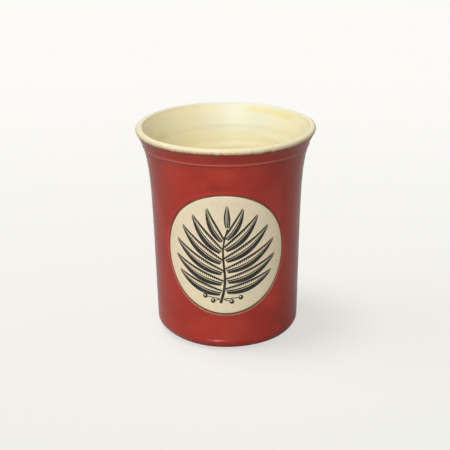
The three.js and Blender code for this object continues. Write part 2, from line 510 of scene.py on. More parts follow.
def liner_outline():
    """Stations of the cream's face from the axis to where it laps over the red, and of its back."""
    corner = inside_corner(0, steps=16)
    radii = spaced(CREAM_FLOOR_STEP, corner[0].radius, CREAM_FLOOR_STEP)[:-1]
    front = [Station(0, FLOOR, *UP)] + [Station(radius, FLOOR, *UP) for radius in radii] + corner
    front += [inside_station(z) for z in spaced(FLOOR + FLOOR_ROUND, FLARE_TOP, CREAM_WALL_STEP)[1:]]
    front += arc_stations(LIP_CENTRE, LIP_ROUND, math.pi - LIP_TILT, -LIP_TILT, steps=45)[1:]
    run = [wall_station(z) for z in spaced(FLARE_TOP, FLARE_TOP - LAP_RUN, LAP_STEP)[1:]]
    front += run
    back = run[::-1] + arc_stations(LIP_CENTRE, LIP_ROUND, -LIP_TILT, LAP_SEAT, steps=5)
    back += arc_stations(LIP_CENTRE, LIP_ROUND - GLAZE, LAP_SEAT, math.pi - LIP_TILT, steps=8)
    heights = spaced(FLARE_TOP, FLOOR + FLOOR_ROUND, CREAM_BACK_STEP)[1:]
    back += [inside_station(z, -GLAZE) for z in heights]
    back += inside_corner(-GLAZE, steps=8)[::-1][1:]
    back.append(Station(0, FLOOR_CLAY, *UP))
    return front, back


liner_front, liner_back = liner_outline()
print(f"{len(liner_front)} stations on the cream's face, {len(liner_back)} on its back")

# %% Where the cream ends
# How far the edge wanders, in degrees round the lip: quickly, slowly, and drawn up all along
LAP_RAGGED, LAP_WANDER, LAP_DRAWN_UP = 20, 8, 8


def lip_angle(place):
    """Where a station lies on the round of the lip: zero at its outside, negative below."""
    return math.atan2(place.height - LIP_CENTRE.y, place.radius - LIP_CENTRE.x)


LAP_END = lip_angle(liner_back[0])


def lap_line(turn):
    """How far, as an angle on the lip, the cream glaze has run down over the red."""
    ragged = noise_round(turn, reach=22, level=3.0)
    slow = noise_round(turn, reach=3, level=8.0)
    return math.radians(LAP_RAGGED * ragged + LAP_WANDER * slow - LAP_DRAWN_UP)


print(f"the cream ends {math.degrees(LAP_END):.0f} degrees round the lip, or a little higher")

# %% Unevenness of the cream
INSIDE_RING = 0.17 * MM
RINGS_START = (FLOOR + 2 * MM, FLOOR + 14 * MM)
RINGS_END = (HEIGHT - 14 * MM, HEIGHT - 6 * MM)
SWELL = 0.4 * MM
SWELL_TURN = math.radians(-88)
SWELL_SPAN = math.radians(62)
SWELL_START = (HEIGHT - 6 * MM, HEIGHT - 2.5 * MM)
SWELL_END = (HEIGHT - 0.6 * MM, HEIGHT)
LAP_RISE = 0.07 * MM
LAP_SUNK = -0.05 * MM
LAP_TAPER = math.radians(9)
LAP_TOP = (math.radians(15), math.radians(75))
ANGLE_SLACK = 0.01


def lip_swell(place, turn):
    """The lip is a little thicker on its left, where the wall was cut less deep."""
    inside = fade(place.height, *SWELL_START) * (1 - fade(place.height, *SWELL_END))
    return SWELL * inside * turn_bump(turn, SWELL_TURN, SWELL_SPAN)


def liner_lift(number, place, turn):
    outside_lip = place.radius > LIP_CENTRE.x
    lap = lip_angle(place)
    if number >= len(liner_front):
        return 2 * LAP_SUNK if outside_lip and lap < LAP_SEAT - ANGLE_SLACK else 0
    if outside_lip:
        run = fade(lap + lap_line(turn), LAP_END, LAP_END + LAP_TAPER)
        rise = LAP_RISE * (1 - fade(lap, *LAP_TOP))
        return LAP_SUNK + (rise - LAP_SUNK) * run
    rings = fade(place.height, *RINGS_START) * (1 - fade(place.height, *RINGS_END))
    return INSIDE_RING * rings * finger_rings(turn, place.height, seed=0.0) + lip_swell(place, turn)


print(f"rings {INSIDE_RING / MM:.2f} mm deep inside, a lip {SWELL / MM:.1f} mm thicker on its left")

# %% Marks for the cream's colours
LAP_BLUSH = math.radians(30)
LAP_LOWEST = HEIGHT - 4 * MM
POOL_HEIGHT = HEIGHT - 2.8 * MM
POOL_HALF = 2.2 * MM
POOL_START = (math.radians(112), math.radians(132))
POOL_END = (math.radians(158), math.radians(172))
# Where the cream is faintly tan
TAN_START = (math.radians(180), math.radians(196))
TAN_END = (math.radians(226), math.radians(262))
# Where painted shade darkens the crest of the lip
RIM_SHADE_START = (HEIGHT - 2.2 * MM, HEIGHT - 0.6 * MM)
# Where a painted sheen lies high on the back
SHEEN_TURN = math.radians(166)
SHEEN_SPAN = (math.radians(12), math.radians(50))
SHEEN_HEIGHTS = (91 * MM, 97 * MM)


def lap_mark(place, turn):
    """One at the edge where the cream ends on the red, fading to zero over the lip."""
    outside = place.radius > LIP_CENTRE.x and place.height > LAP_LOWEST
    return 1 - fade(lip_angle(place) + lap_line(turn), LAP_END, LAP_BLUSH) if outside else 0.0


def under_lip_mark(place, turn, start, end):
    """One in the turn under the lip, between a start and an end round the pot."""
    level = bump(place.height - POOL_HEIGHT, POOL_HALF) if place.radius < LIP_CENTRE.x else 0.0
    return level * fade(turn, *start) * (1 - fade(turn, *end))


def pool_mark(place, turn):
    """One where the glaze pooled yellow, on one side of the back."""
    return under_lip_mark(place, turn, POOL_START, POOL_END)


def tan_band_mark(place, turn):
    """One where the cream is faintly tan, on the other side of the back."""
    return under_lip_mark(place, turn, TAN_START, TAN_END)


def rim_shade_mark(place, turn):
    """One on the crest of the lip, where painted shade darkens the cream."""
    return fade(place.height, *RIM_SHADE_START)


def sheen_mark(place, turn):
    """One where a painted sheen makes the cream whiter and greener, high on the back."""
    from_back = abs(math.remainder(turn - SHEEN_TURN, FULL_TURN))
    return fade(place.height, *SHEEN_HEIGHTS) * (1 - fade(from_back, *SHEEN_SPAN))


liner_marks = {"lap": lap_mark, "pool": pool_mark, "tan_band": tan_band_mark, "rim_shade": rim_shade_mark, "sheen": sheen_mark}
print("marks on the cream:", sorted(liner_marks))

# %% Cream liner
# Twice as many columns as elsewhere, for the ragged edge
LINER_COLUMNS = 2 * COLUMNS

liner = turned_piece("cream_liner_poured", liner_front + liner_back, liner_lift, liner_marks, LINER_COLUMNS)
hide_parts("cream_liner")

# %% [markdown]
# ## The red coat
# The red glaze covers the outside from just above the bare foot to the lip. It rolls thick above the
# foot, thins on the turned ridge, and draws back from the medallion in a rounded bead. It is darker just
# above the medallion, and its bead is painted lighter below the medallion and darker above it, a painted
# highlight and a painted shade. A boolean could cut the round window, but it leaves slivers and a hard
# edge. So the grid in front is swapped for rings that grow from the circle out to a square of the grid.
# Each point also stores how thick the glaze lies there, together with painted shade and painted sheen,
# which the finish later turns into colour.

# %% Rise of the red coat
COAT_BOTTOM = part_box("red_coat")[0].z
RIDGE_HEIGHT = HEIGHT - 8.8 * MM
RIDGE_HALF = 0.6 * MM
RIDGE_SOFT = 0.24 * MM
GROOVE_DEEP = 0.1 * MM
ROLL_HEIGHT = 4.9 * MM
ROLL_HALF = 1.25 * MM
ROLL_RISE = 0.58 * MM
ROLL_TURN = math.radians(-7.5)
ROLL_SPAN = math.radians(17)
OUTSIDE_RING = 0.035 * MM
RINGS_FADE = (RIDGE_HEIGHT - 8 * MM, RIDGE_HEIGHT)
OUTSIDE_SEED = 40.0
# Each turned line has a height, a half width and a rise
TURNED_LINES = ((HEIGHT - 4.4 * MM, 0.5 * MM, 0.08 * MM), (HEIGHT - 5.9 * MM, 0.4 * MM, 0.05 * MM))


def coat_lift(turn, height):
    """How far the red stands off the plain wall: finger rings, ridge and groove, roll and turned lines."""
    rings = finger_rings(turn, height, OUTSIDE_SEED) * (1 - fade(height, *RINGS_FADE))
    crest = bump(height - RIDGE_HEIGHT, RIDGE_HALF)
    groove = bump(height - RIDGE_HEIGHT + 2 * RIDGE_HALF, RIDGE_HALF)
    roll = bump(height - ROLL_HEIGHT, ROLL_HALF) * turn_bump(turn, ROLL_TURN, ROLL_SPAN)
    lines = sum(rise * bump(height - at, half) for at, half, rise in TURNED_LINES)
    return OUTSIDE_RING * rings + RIDGE_SOFT * crest - GROOVE_DEEP * groove + ROLL_RISE * roll + lines


print(f"ridge {RIDGE_HEIGHT / MM:.1f} mm up, standing {RIDGE_SOFT / MM:.2f} mm proud")

# %% Depth of the red glaze
PLAIN_DEPTH = 0.5
CREST_THIN, CREST_SPREAD = 0.34, 2.2
# Lighter red on the turned lines: thinner glaze, and a painted reflection
LINES_THIN_SHEEN = 0.1
# Darker red in the groove under the ridge: pooled glaze and painted shade
GROOVE_POOLED_SHADE, GROOVE_DROP = 0.3, 1.8
# Darker red in the band up to the lip and just under it: painted shade, with some pooled glaze
BAND_POOLED_SHADE, BAND_START = 0.08, (RIDGE_HEIGHT, RIDGE_HEIGHT + 1.5 * MM)
LIP_POOLED_SHADE, LIP_START = 0.08, (HEIGHT - 4 * MM, HEIGHT - 2.6 * MM)
# Darker red just above the foot: pooled glaze, and painted shade on the foot's downward curve
FOOT_POOLED_SHADE, FOOT_END = 0.2, (COAT_BOTTOM + 0.8 * MM, COAT_BOTTOM + 4.6 * MM)
# A darker patch of red just above the medallion
DARK_ABOVE = 0.2
DARK_ABOVE_HEIGHT = MEDALLION_CENTRE + 35.2 * MM
DARK_ABOVE_SIDE = -2 * MM
DARK_ABOVE_HALF_WIDE, DARK_ABOVE_HALF_HIGH = 13 * MM, 2.4 * MM
# Each light patch has its place beside and above the medallion's middle, two half widths and an amount.
# The patch straight above the medallion is a painted highlight
LIGHT_PATCHES = (
    (-25 * MM, 40 * MM, 17 * MM, 13 * MM, 0.1),
    (0 * MM, 42 * MM, 14 * MM, 8 * MM, 0.16),
    (15 * MM, 44 * MM, 9 * MM, 6 * MM, 0.08),
    (-14 * MM, -39 * MM, 18 * MM, 9 * MM, 0.08),
    (24 * MM, -26 * MM, 12 * MM, 11 * MM, 0.14),
)


def thin_and_sheen_depth(along, height):
    """How much lighter the red is there: thin glaze over the ridge, thin glaze with a painted reflection on
    the turned lines, and light patches, the one above the medallion a painted highlight.
    """
    above = height > RIDGE_HEIGHT
    lighter = CREST_THIN * bump(height - RIDGE_HEIGHT, CREST_SPREAD * RIDGE_HALF if above else RIDGE_HALF)
    lighter += LINES_THIN_SHEEN * max(bump(height - at, half) for at, half, _ in TURNED_LINES)
    for side, rise, half_wide, half_high, amount in LIGHT_PATCHES:
        lighter += amount * bump(along - side, half_wide) * bump(height - MEDALLION_CENTRE - rise, half_high)
    return lighter


def pooled_and_shade_depth(along, height):
    """How much darker the red is there: pooled glaze and painted shade in the groove, in the band above it,
    under the lip and at the foot, and a darker patch above the disc.
    """
    dark_above = bump(height - DARK_ABOVE_HEIGHT, DARK_ABOVE_HALF_HIGH) * bump(along - DARK_ABOVE_SIDE, DARK_ABOVE_HALF_WIDE)
    pooled_and_shade = GROOVE_POOLED_SHADE * bump(height - RIDGE_HEIGHT + GROOVE_DROP * RIDGE_HALF, RIDGE_HALF)
    pooled_and_shade += BAND_POOLED_SHADE * fade(height, *BAND_START) + LIP_POOLED_SHADE * fade(height, *LIP_START)
    return pooled_and_shade + FOOT_POOLED_SHADE * (1 - fade(height, *FOOT_END)) + DARK_ABOVE * dark_above


def coat_depth_and_light(turn, height):
    """Half is a plain coat. Less is thin glaze and, in places, painted sheen; more is pooled glaze and, in
    places, painted shade.
    """
    along = math.remainder(turn, FULL_TURN) * FACE_RADIUS
    return PLAIN_DEPTH - thin_and_sheen_depth(along, height) + pooled_and_shade_depth(along, height)


print(f"depth on the ridge {coat_depth_and_light(0, RIDGE_HEIGHT):.2f}, at the foot {coat_depth_and_light(0, COAT_BOTTOM):.2f}")

# %% Rows of the red coat
WINDOW_COLUMNS = 30
WINDOW_HALF = FULL_TURN * WINDOW_COLUMNS / COLUMNS * FACE_RADIUS
WINDOW_LOW, WINDOW_HIGH = MEDALLION_CENTRE - WINDOW_HALF, MEDALLION_CENTRE + WINDOW_HALF
COAT_START = -math.asin((FOOT_ROUND - COAT_BOTTOM) / (FOOT_ROUND + GLAZE))
ROLL_TOP, ROLL_STEP = 9 * MM, 0.3 * MM
RIDGE_LOW, RIDGE_HIGH = RIDGE_HEIGHT - 3.4 * RIDGE_HALF, RIDGE_HEIGHT + 1.2 * RIDGE_HALF
WALL_STEP = 1.2 * MM
RIDGE_STEP = 0.12 * MM
FLARE_STEP = 0.24 * MM


def coat_stations():
    """Stations from the foot to the lip, closest together at the roll and at the ridge."""
    stretches = (
        (FOOT_ROUND, ROLL_TOP, ROLL_STEP),
        (ROLL_TOP, WINDOW_LOW, WALL_STEP),
        (WINDOW_LOW, WINDOW_HIGH, WALL_STEP),
        (WINDOW_HIGH, RIDGE_LOW, WALL_STEP),
        (RIDGE_LOW, RIDGE_HIGH, RIDGE_STEP),
        (RIDGE_HIGH, FLARE_TOP, FLARE_STEP),
    )
    made = arc_stations(FOOT_CENTRE, FOOT_ROUND + GLAZE, COAT_START, 0, steps=24)
    for low, high, step in stretches:
        made += [wall_station(z) for z in spaced(low, high, step)[1:]]
    return made + arc_stations(LIP_CENTRE, LIP_ROUND, -LIP_TILT, LAP_SEAT, steps=10)[1:]


coat_rows = coat_stations()


def nearest_row(height):
    return min(range(len(coat_rows)), key=lambda i: abs(coat_rows[i].height - height))


first_row, last_row = nearest_row(WINDOW_LOW), nearest_row(WINDOW_HIGH)
print(f"{len(coat_rows)} rows, window from row {first_row} to row {last_row}")

# %% Grid with a square left out
def coat_turn(j):
    return FULL_TURN * j / COLUMNS


def coat_grid(points, depths, back):
    rows = []
    for place in coat_rows:
        rows.append([])
        for j in range(COLUMNS):
            turn = coat_turn(j)
            rows[-1].append(len(points))
            points.append(turned_point(place, turn, -GLAZE if back else coat_lift(turn, place.height)))
            depths.append(coat_depth_and_light(turn, place.height))
    return rows


def grid_faces(rows):
    faces = []
    for i in range(len(rows) - 1):
        strip = strip_faces(rows[i], rows[i + 1])
        if first_row <= i < last_row:
            strip = strip[WINDOW_COLUMNS:COLUMNS - WINDOW_COLUMNS]
        faces += strip
    return faces


def window_loop():
    """Grid corners round the square in front, as (row, column), walked once round."""
    left, right = -WINDOW_COLUMNS, WINDOW_COLUMNS
    loop = [(first_row, j) for j in range(left, right)]
    loop += [(i, right) for i in range(first_row, last_row)]
    loop += [(last_row, j) for j in range(right, left, -1)]
    loop += [(i, left) for i in range(last_row, first_row, -1)]
    return loop


print(f"the window's square has {len(window_loop())} corners round it")

# %% Bead round the window
JOIN_WIDTH = 0.85 * MM
WINDOW_RADIUS = MEDALLION_RADIUS + JOIN_WIDTH
BEAD_RISE = 0.18 * MM
BEAD_CREST = 0.4 * MM
BEAD_END = 1.7 * MM
BEAD_STEP = 0.1 * MM
BEAD_TURN = math.pi / 14


def bead_profile():
    """Distance out from the window's edge and rise, over a rounded edge and a crest to the plain coat."""
    made = []
    for angle in spaced(math.pi, math.pi / 2, BEAD_TURN):
        rise = (BEAD_RISE + GLAZE) * math.sin(angle) - GLAZE
        made.append((BEAD_CREST * (1 + math.cos(angle)), rise))
    for out in spaced(BEAD_CREST, BEAD_END, BEAD_STEP)[1:]:
        made.append((out, BEAD_RISE * bump(out - BEAD_CREST, BEAD_END - BEAD_CREST)))
    return made


print(f"window {2 * WINDOW_RADIUS / MM:.1f} mm across, with a bead {BEAD_RISE / MM:.2f} mm high round it")

# %% Red coat with its window
# The glaze thins at the window's edge. The bead is also painted lighter below the medallion and darker
# above it, a painted highlight and a painted shade
EDGE_THIN, EDGE_LIT_BELOW = 0.17, 0.22
EDGE_FADE = (0.1 * MM, BEAD_END)
BLEND_STEPS = 5


def window_rings(points, depths, rows, profile, back):
    """Rings of points from the window's edge out to the square. The last ring is the grid's own."""
    loop = window_loop()
    steps = [(out, rise, 0.0) for out, rise in profile]
    steps += [(profile[-1][0], 0.0, share) for share in spaced(0, 1, 1 / BLEND_STEPS)[1:-1]]
    rings = []
    for out, rise, share in steps:
        edge = 1 - fade(out, *EDGE_FADE) if share == 0 else 0
        rings.append([])
        for i, j in loop:
            along, up = coat_turn(j) * FACE_RADIUS, coat_rows[i].height - MEDALLION_CENTRE
            size = math.hypot(along, up)
            scale = (WINDOW_RADIUS + out) / size * (1 - share) + share
            turn, height = along * scale / FACE_RADIUS, MEDALLION_CENTRE + up * scale
            rings[-1].append(len(points))
            lift = -GLAZE if back else coat_lift(turn, height) + rise
            points.append(on_wall(along * scale, up * scale, lift))
            # Painted highlight on the bead below the medallion, painted shade above it
            depths.append(coat_depth_and_light(turn, height) - (EDGE_THIN - EDGE_LIT_BELOW * up / size) * edge)
    rings.append([rows[i][j % COLUMNS] for i, j in loop])
    return rings


def make_red_coat():
    points, depths = [], []
    front = coat_grid(points, depths, back=False)
    back = coat_grid(points, depths, back=True)
    faces = grid_faces(front) + grid_faces(back)
    faces += strip_faces(front[0], back[0]) + strip_faces(front[-1], back[-1])
    bead = bead_profile()
    front_rings = window_rings(points, depths, front, bead, back=False)
    back_rings = window_rings(points, depths, back, bead[-1:], back=True)
    faces += row_faces(front_rings, closed=False)
    faces += row_faces([front_rings[0]] + back_rings, closed=False)
    # The stored depth also carries painted shade, painted sheen and a painted highlight
    return make_piece("red_coat_dipped", points, faces, {"coat": depths})


red_coat = make_red_coat()
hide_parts("red_coat")

# %% [markdown]
# ## The medallion and its outline
# The disc is pale clay, pressed on so that its rim stands a little proud. A brown stain was brushed into
# the join round it, and shows as a fine dark ring. The ring could be painted by the material, but a
# brushed stain lies in the join and has a crown. So both are short outlines turned flat and bent round
# the wall. The disc's face isn't perfectly even, and a slow wave of a few hundredths of a millimetre
# moves it.

# %% Medallion
FACE_LIFT = 0.35 * MM
FACE_RINGS = 12
FACE_WAVE = 0.05 * MM
WAVE_SIZE = 14 * MM
WAVE_SEED = 5.0
WAVE_END = (0.8 * MEDALLION_RADIUS, 0.97 * MEDALLION_RADIUS)
RIM_ROUND = 0.3 * MM
RIM_TURN = math.pi / 10
MEDALLION_BACK = -1.0 * MM


def face_wave(out, turn):
    x, y = out * math.cos(turn), out * math.sin(turn)
    slow = noise.noise(Vector((x / WAVE_SIZE, y / WAVE_SIZE, WAVE_SEED)))
    return FACE_WAVE * slow * (1 - fade(out, *WAVE_END))


def medallion_outline():
    flat = MEDALLION_RADIUS - RIM_ROUND
    outline = [(flat * i / FACE_RINGS, FACE_LIFT) for i in range(FACE_RINGS + 1)]
    for angle in spaced(math.pi / 2, 0, RIM_TURN)[1:]:
        lift = FACE_LIFT - RIM_ROUND + RIM_ROUND * math.sin(angle)
        outline.append((flat + RIM_ROUND * math.cos(angle), lift))
    return outline + [(out, MEDALLION_BACK) for out in (MEDALLION_RADIUS, MEDALLION_RADIUS / 2, 0)]


medallion = bent_piece("medallion_disc", medallion_outline(), face_wave)
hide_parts("medallion")

# %% Outline of stain
STAIN_FLOOR = -0.46 * MM
STAIN_TOP = -0.12 * MM
STAIN_CROWN = 0.12 * MM
STAIN_START = MEDALLION_RADIUS + 0.02 * MM
STAIN_END = WINDOW_RADIUS + 0.05 * MM
STAIN_STEP = 0.125


def stain_outline():
    outline = [(STAIN_START, STAIN_FLOOR)]
    for share in spaced(0, 1, STAIN_STEP):
        top = STAIN_TOP + STAIN_CROWN * math.sin(math.pi * share)
        outline.append((STAIN_START + (STAIN_END - STAIN_START) * share, top))
    outline.append((STAIN_END, STAIN_FLOOR))
    return outline


stain = bent_piece("stain_ring", stain_outline())
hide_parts("outline_stain")

# %% [markdown]
# ## The print: a leafy sprig
# A print like this is made with a cut block, which is inked and pressed on the disc. It is a plain leafy
# sprig, the kind of ornament found in any pattern book: a stem, pairs of leaves that all reach to one
# circle, and berries. It could be drawn by a material, but ink lies on the clay and has an edge. So each
# mark is a thin solid of ink. Every leaf has a dark half and a light half, both with a row of teeth, as a
# cutting tool leaves them.

# %% Ink strips
INK_RISE = 0.035 * MM
INK_SINK = -0.06 * MM


def ink_point(x, y, lift):
    """A point of ink that far off the disc's uneven face."""
    wave = face_wave(math.hypot(x, y), math.atan2(y, x))
    return on_wall(x, y, FACE_LIFT + wave + lift)


class Ink:
    """Collects strips of ink, each a closed solid between two edges of equal count."""

    def __init__(self):
        self.points = []
        self.faces = []

    def strip(self, left, right, ring=False):
        start, count = len(self.points), len(left)
        for a, b in zip(left, right):
            for (x, y), lift in ((a, INK_RISE), (b, INK_RISE), (b, INK_SINK), (a, INK_SINK)):
                self.points.append(ink_point(x, y, lift))
        sections = [[start + 4 * i + k for k in range(4)] for i in range(count)]
        self.faces += row_faces(sections, closed=ring)
        if not ring:
            self.faces += [sections[0], sections[-1][::-1]]


sprig = Ink()
print(f"ink {INK_RISE / MM:.3f} mm thick")

# %% Stem
STEM_FOOT = Vector((-2.6, -25.5)) * MM
STEM_TIP = Vector((1.2, 14.0)) * MM
STEM_BOW = 1.2 * MM
STEM_HALF, STEM_TAPER = 0.75 * MM, 0.4 * MM
STEM_STEP = 0.04
LOOK_AHEAD = 0.01


def stem_point(share):
    """A place on the stem, which bows to one side and then to the other."""
    across = Vector((STEM_TIP.y - STEM_FOOT.y, STEM_FOOT.x - STEM_TIP.x)).normalized()
    return STEM_FOOT.lerp(STEM_TIP, share) + across * STEM_BOW * math.sin(FULL_TURN * share)


def stem_half(share):
    return STEM_HALF - STEM_TAPER * share


def draw_stem(ink):
    left, right = [], []
    for share in spaced(0, 1, STEM_STEP):
        ahead = stem_point(share + LOOK_AHEAD) - stem_point(share - LOOK_AHEAD)
        side = Vector((-ahead.y, ahead.x)).normalized() * stem_half(share)
        left.append(stem_point(share) + side)
        right.append(stem_point(share) - side)
    ink.strip(left, right)


draw_stem(sprig)
print(f"stem: {len(sprig.faces)} faces of ink")

# %% Shape of a leaf
LEAF_HALF = 2.45 * MM
LEAF_SLIM = 0.105
LEAF_BELLY, LEAF_FULL = 0.85, 0.9


def leaf_shape(base, tip, sag):
    """A function from a share of the length and a sideways distance to a place on the disc."""
    chord = tip - base
    side = Vector((-chord.y, chord.x)).normalized()

    def place(share, across):
        bow = sag * chord.length * share * (1 - share)
        return base + chord * share + side * (bow + across)

    return place


def leaf_half(share, length):
    swell = math.sin(math.pi * share ** LEAF_BELLY) ** LEAF_FULL
    return min(LEAF_HALF, LEAF_SLIM * length) * swell


print(f"a leaf is at most {2 * LEAF_HALF / MM:.1f} mm wide")

# %% One leaf
LEAF_START, LEAF_SPAN = 0.12, 0.86
RIB_HALF, RIB_TAPER = 0.4 * MM, 0.3 * MM
RIB_CLEAR = 0.18 * MM
LINE = 0.3 * MM
THINNEST = 0.12 * MM
TOOTH_PITCH = 1.15 * MM
TOOTH_LEAN = 0.04
LEAST_TEETH = 6
# The share of the half leaf that stays bare beside the rib, at a tooth and at the gap after it
DARK_CUT = (0.1, 0.42)
LIGHT_CUT = (0.42, 0.92)


def draw_leaf(ink, base, tip, sag, dark_side, gap):
    """A rib and two toothed halves, the dark one inked from its edge almost to the rib."""
    length = (tip - base).length
    place = leaf_shape(base, tip, sag)
    begin = gap / length
    teeth = max(LEAST_TEETH, round(length / TOOTH_PITCH))
    body = [i / (2 * teeth) for i in range(2 * teeth + 1)]
    shares = [begin + (1 - begin) * b for b in body]
    rib = [RIB_HALF - RIB_TAPER * b for b in body]
    ink.strip([place(s, w) for s, w in zip(shares, rib)], [place(s, -w) for s, w in zip(shares, rib)])
    for side in (1, -1):
        cuts = DARK_CUT if side == dark_side else LIGHT_CUT
        outer, inner = [], []
        for i, share in enumerate(shares):
            half = leaf_half(LEAF_START + LEAF_SPAN * body[i], length)
            tooth = i % 2 == 1
            depth = cuts[0] if tooth else cuts[1]
            edge = max(half * depth - (0 if tooth else LINE), rib[i] + RIB_CLEAR)
            outer.append(place(share, side * max(half + LINE, edge + THINNEST)))
            inner.append(place(max(share - TOOTH_LEAN * (1 - depth), begin), side * edge))
        ink.strip(outer, inner)


print(f"a tooth every {TOOTH_PITCH / MM:.2f} mm along a leaf")

# %% All leaves
PRINT_RADIUS = 26 * MM
LEAF_PAIRS = 6
FIRST_BASE, BASE_STEP = 0.14, 0.135
BASE_SHIFT = 0.03
FIRST_TIP, TIP_STEP = math.radians(-22), math.radians(18.5)
LEAF_SAG = 0.3
LEAF_GAP = 0.5 * MM
TOP_TIP = Vector((0.04, 1)) * PRINT_RADIUS
TOP_SAG = 0.03
TOP_GAP = 0.6 * MM


def draw_leaves(ink):
    """Pairs of leaves up the stem, the right one of each a little higher, and one at the top."""
    for i in range(LEAF_PAIRS):
        angle = FIRST_TIP + TIP_STEP * i
        for side in (1, -1):
            at = FIRST_BASE + BASE_STEP * i + (BASE_SHIFT if side > 0 else 0)
            tip = Vector((side * math.cos(angle), math.sin(angle))) * PRINT_RADIUS
            draw_leaf(ink, stem_point(at), tip, -side * LEAF_SAG, -side, stem_half(at) + LEAF_GAP)
    draw_leaf(ink, stem_point(1), TOP_TIP, TOP_SAG, -1, TOP_GAP)


draw_leaves(sprig)
print(f"with leaves: {len(sprig.faces)} faces of ink")

# %% Berries
BERRIES = (Vector((-6.4, -24.2)), Vector((-10.4, -21.8)), Vector((3.0, -24.6)), Vector((7.6, -22.5)))
BERRY_RADIUS = 1.25 * MM
SPOT_RADIUS = 0.35 * BERRY_RADIUS
SPOT_SHIFT = Vector((-0.25, 0.3)) * MM
BERRY_SIDES = 20
STALK_BASE = 0.06
STALK_HALF = 0.24 * MM
STALK_STEP = 0.1
STEM_GAP = 0.4 * MM
BERRY_GAP = 0.15 * MM


def circle(centre, radius):
    made = []
    for i in range(BERRY_SIDES):
        turn = FULL_TURN * i / BERRY_SIDES
        made.append(centre + Vector((math.cos(turn), math.sin(turn))) * radius)
    return made


def draw_berries(ink):
    """Each berry is a ring round a small light spot, on a thin stalk from the foot of the stem."""
    base = stem_point(STALK_BASE)
    for place in BERRIES:
        centre = place * MM
        ink.strip(circle(centre, BERRY_RADIUS), circle(centre + SPOT_SHIFT, SPOT_RADIUS), ring=True)
        ahead = (centre - base).normalized()
        side = Vector((-ahead.y, ahead.x)) * STALK_HALF
        start = base + ahead * (stem_half(STALK_BASE) + STEM_GAP)
        end = centre - ahead * (BERRY_RADIUS + BERRY_GAP)
        steps = [start.lerp(end, share) for share in spaced(0, 1, STALK_STEP)]
        ink.strip([step + side for step in steps], [step - side for step in steps])


draw_berries(sprig)
sprig_piece = make_piece("sprig_print", sprig.points, sprig.faces, smooth=False)

# %% [markdown]
# ## Finishes
# Each finish is a small set of nodes round one Principled shader. The nodes could be linked by hand in
# the editor, but short calls show more plainly what each finish does. Colours are written as they look in
# plain light and turned into Blender's linear values. Object coordinates drive the noise, so a pattern
# has a size in millimetres and goes round the pot without a seam.

# %% Colours
def plain(red, green, blue):
    """A colour as a screen shows it, from 0 to 255, in the linear values that shaders use."""
    made = []
    for value in (red, green, blue):
        share = value / 255
        made.append(share / 12.92 if share <= 0.04045 else ((share + 0.055) / 1.055) ** 2.4)
    return (*made, 1.0)


print("mid grey is", round(plain(128, 128, 128)[0], 3), "as a linear value")

# %% Helpers for finishes
# Noise at a scale of one has blotches about this many metres across
BLOTCH = 0.6
# Nearly all of its values lie in this range
MOST_NOISE = (0.3, 0.7)


class Finish:
    """One material, its Principled shader, and short calls that add nodes to it."""

    def __init__(self, name, **sockets):
        self.material = bpy.data.materials.new(name)
        self.material.use_nodes = True
        self.tree = self.material.node_tree
        self.tree.nodes.clear()
        self.shader = self.tree.nodes.new("ShaderNodeBsdfPrincipled")
        output = self.tree.nodes.new("ShaderNodeOutputMaterial")
        self.tree.links.new(self.shader.outputs["BSDF"], output.inputs["Surface"])
        self.where = self.tree.nodes.new("ShaderNodeTexCoord").outputs["Object"]
        for socket, value in sockets.items():
            self.set(self.shader, socket, value)

    def set(self, node, socket, value):
        """Links another node's output to the socket, or gives it a plain value."""
        if isinstance(value, bpy.types.NodeSocket):
            self.tree.links.new(value, node.inputs[socket])
        else:
            node.inputs[socket].default_value = value

    def add(self, kind, inputs, output=0, **settings):
        made = self.tree.nodes.new(kind)
        for key, value in settings.items():
            setattr(made, key, value)
        for socket, value in inputs.items():
            self.set(made, socket, value)
        return made.outputs[output]

    def noise(self, size, detail=3.0, roughness=0.55, stretch=(1, 1, 1)):
        """Noise whose blotches are about that many metres across."""
        where = self.add("ShaderNodeMapping", {"Vector": self.where, "Scale": stretch})
        inputs = {"Vector": where, "Scale": BLOTCH / size, "Detail": detail, "Roughness": roughness}
        return self.add("ShaderNodeTexNoise", inputs, "Fac")

    def mark(self, name):
        """The number of that name stored on the mesh."""
        return self.add("ShaderNodeAttribute", {}, "Fac", attribute_name=name)

    def ramp(self, value, low, high, from_value=0.0, to_value=1.0):
        """Eases from one value to another as the number goes from low to high."""
        inputs = {"Value": value, "From Min": low, "From Max": high}
        inputs |= {"To Min": from_value, "To Max": to_value}
        return self.add("ShaderNodeMapRange", inputs, interpolation_type="SMOOTHSTEP")

    def mix(self, share, first, second, blend="MIX"):
        """Mixes two colours. A Mix node takes them at inputs 6 and 7, and gives the result at output 2."""
        inputs = {0: share, 6: first, 7: second}
        return self.add("ShaderNodeMix", inputs, 2, data_type="RGBA", blend_type=blend)

    def calculate(self, operation, first, second):
        return self.add("ShaderNodeMath", {0: first, 1: second}, operation=operation)

    def jitter(self, size, detail, amount):
        """Noise round zero, half that amount to either side."""
        centred = self.calculate("SUBTRACT", self.noise(size, detail), 0.5)
        return self.calculate("MULTIPLY", centred, amount)

    def colour(self, value):
        self.set(self.shader, "Base Color", value)

    def roughness(self, size, detail, low, high):
        """Roughness that wanders between two levels."""
        self.set(self.shader, "Roughness", self.ramp(self.noise(size, detail), *MOST_NOISE, low, high))

    def relief(self, size, detail, depth, strength=0.5):
        """A fine unevenness that only bends the light."""
        inputs = {"Height": self.noise(size, detail), "Distance": depth, "Strength": strength}
        self.set(self.shader, "Normal", self.add("ShaderNodeBump", inputs))


def dress(piece, finish):
    piece.data.materials.clear()
    piece.data.materials.append(finish.material)
    print(f"{piece.name} wears {finish.material.name}")


print("most of a noise lies between", MOST_NOISE)

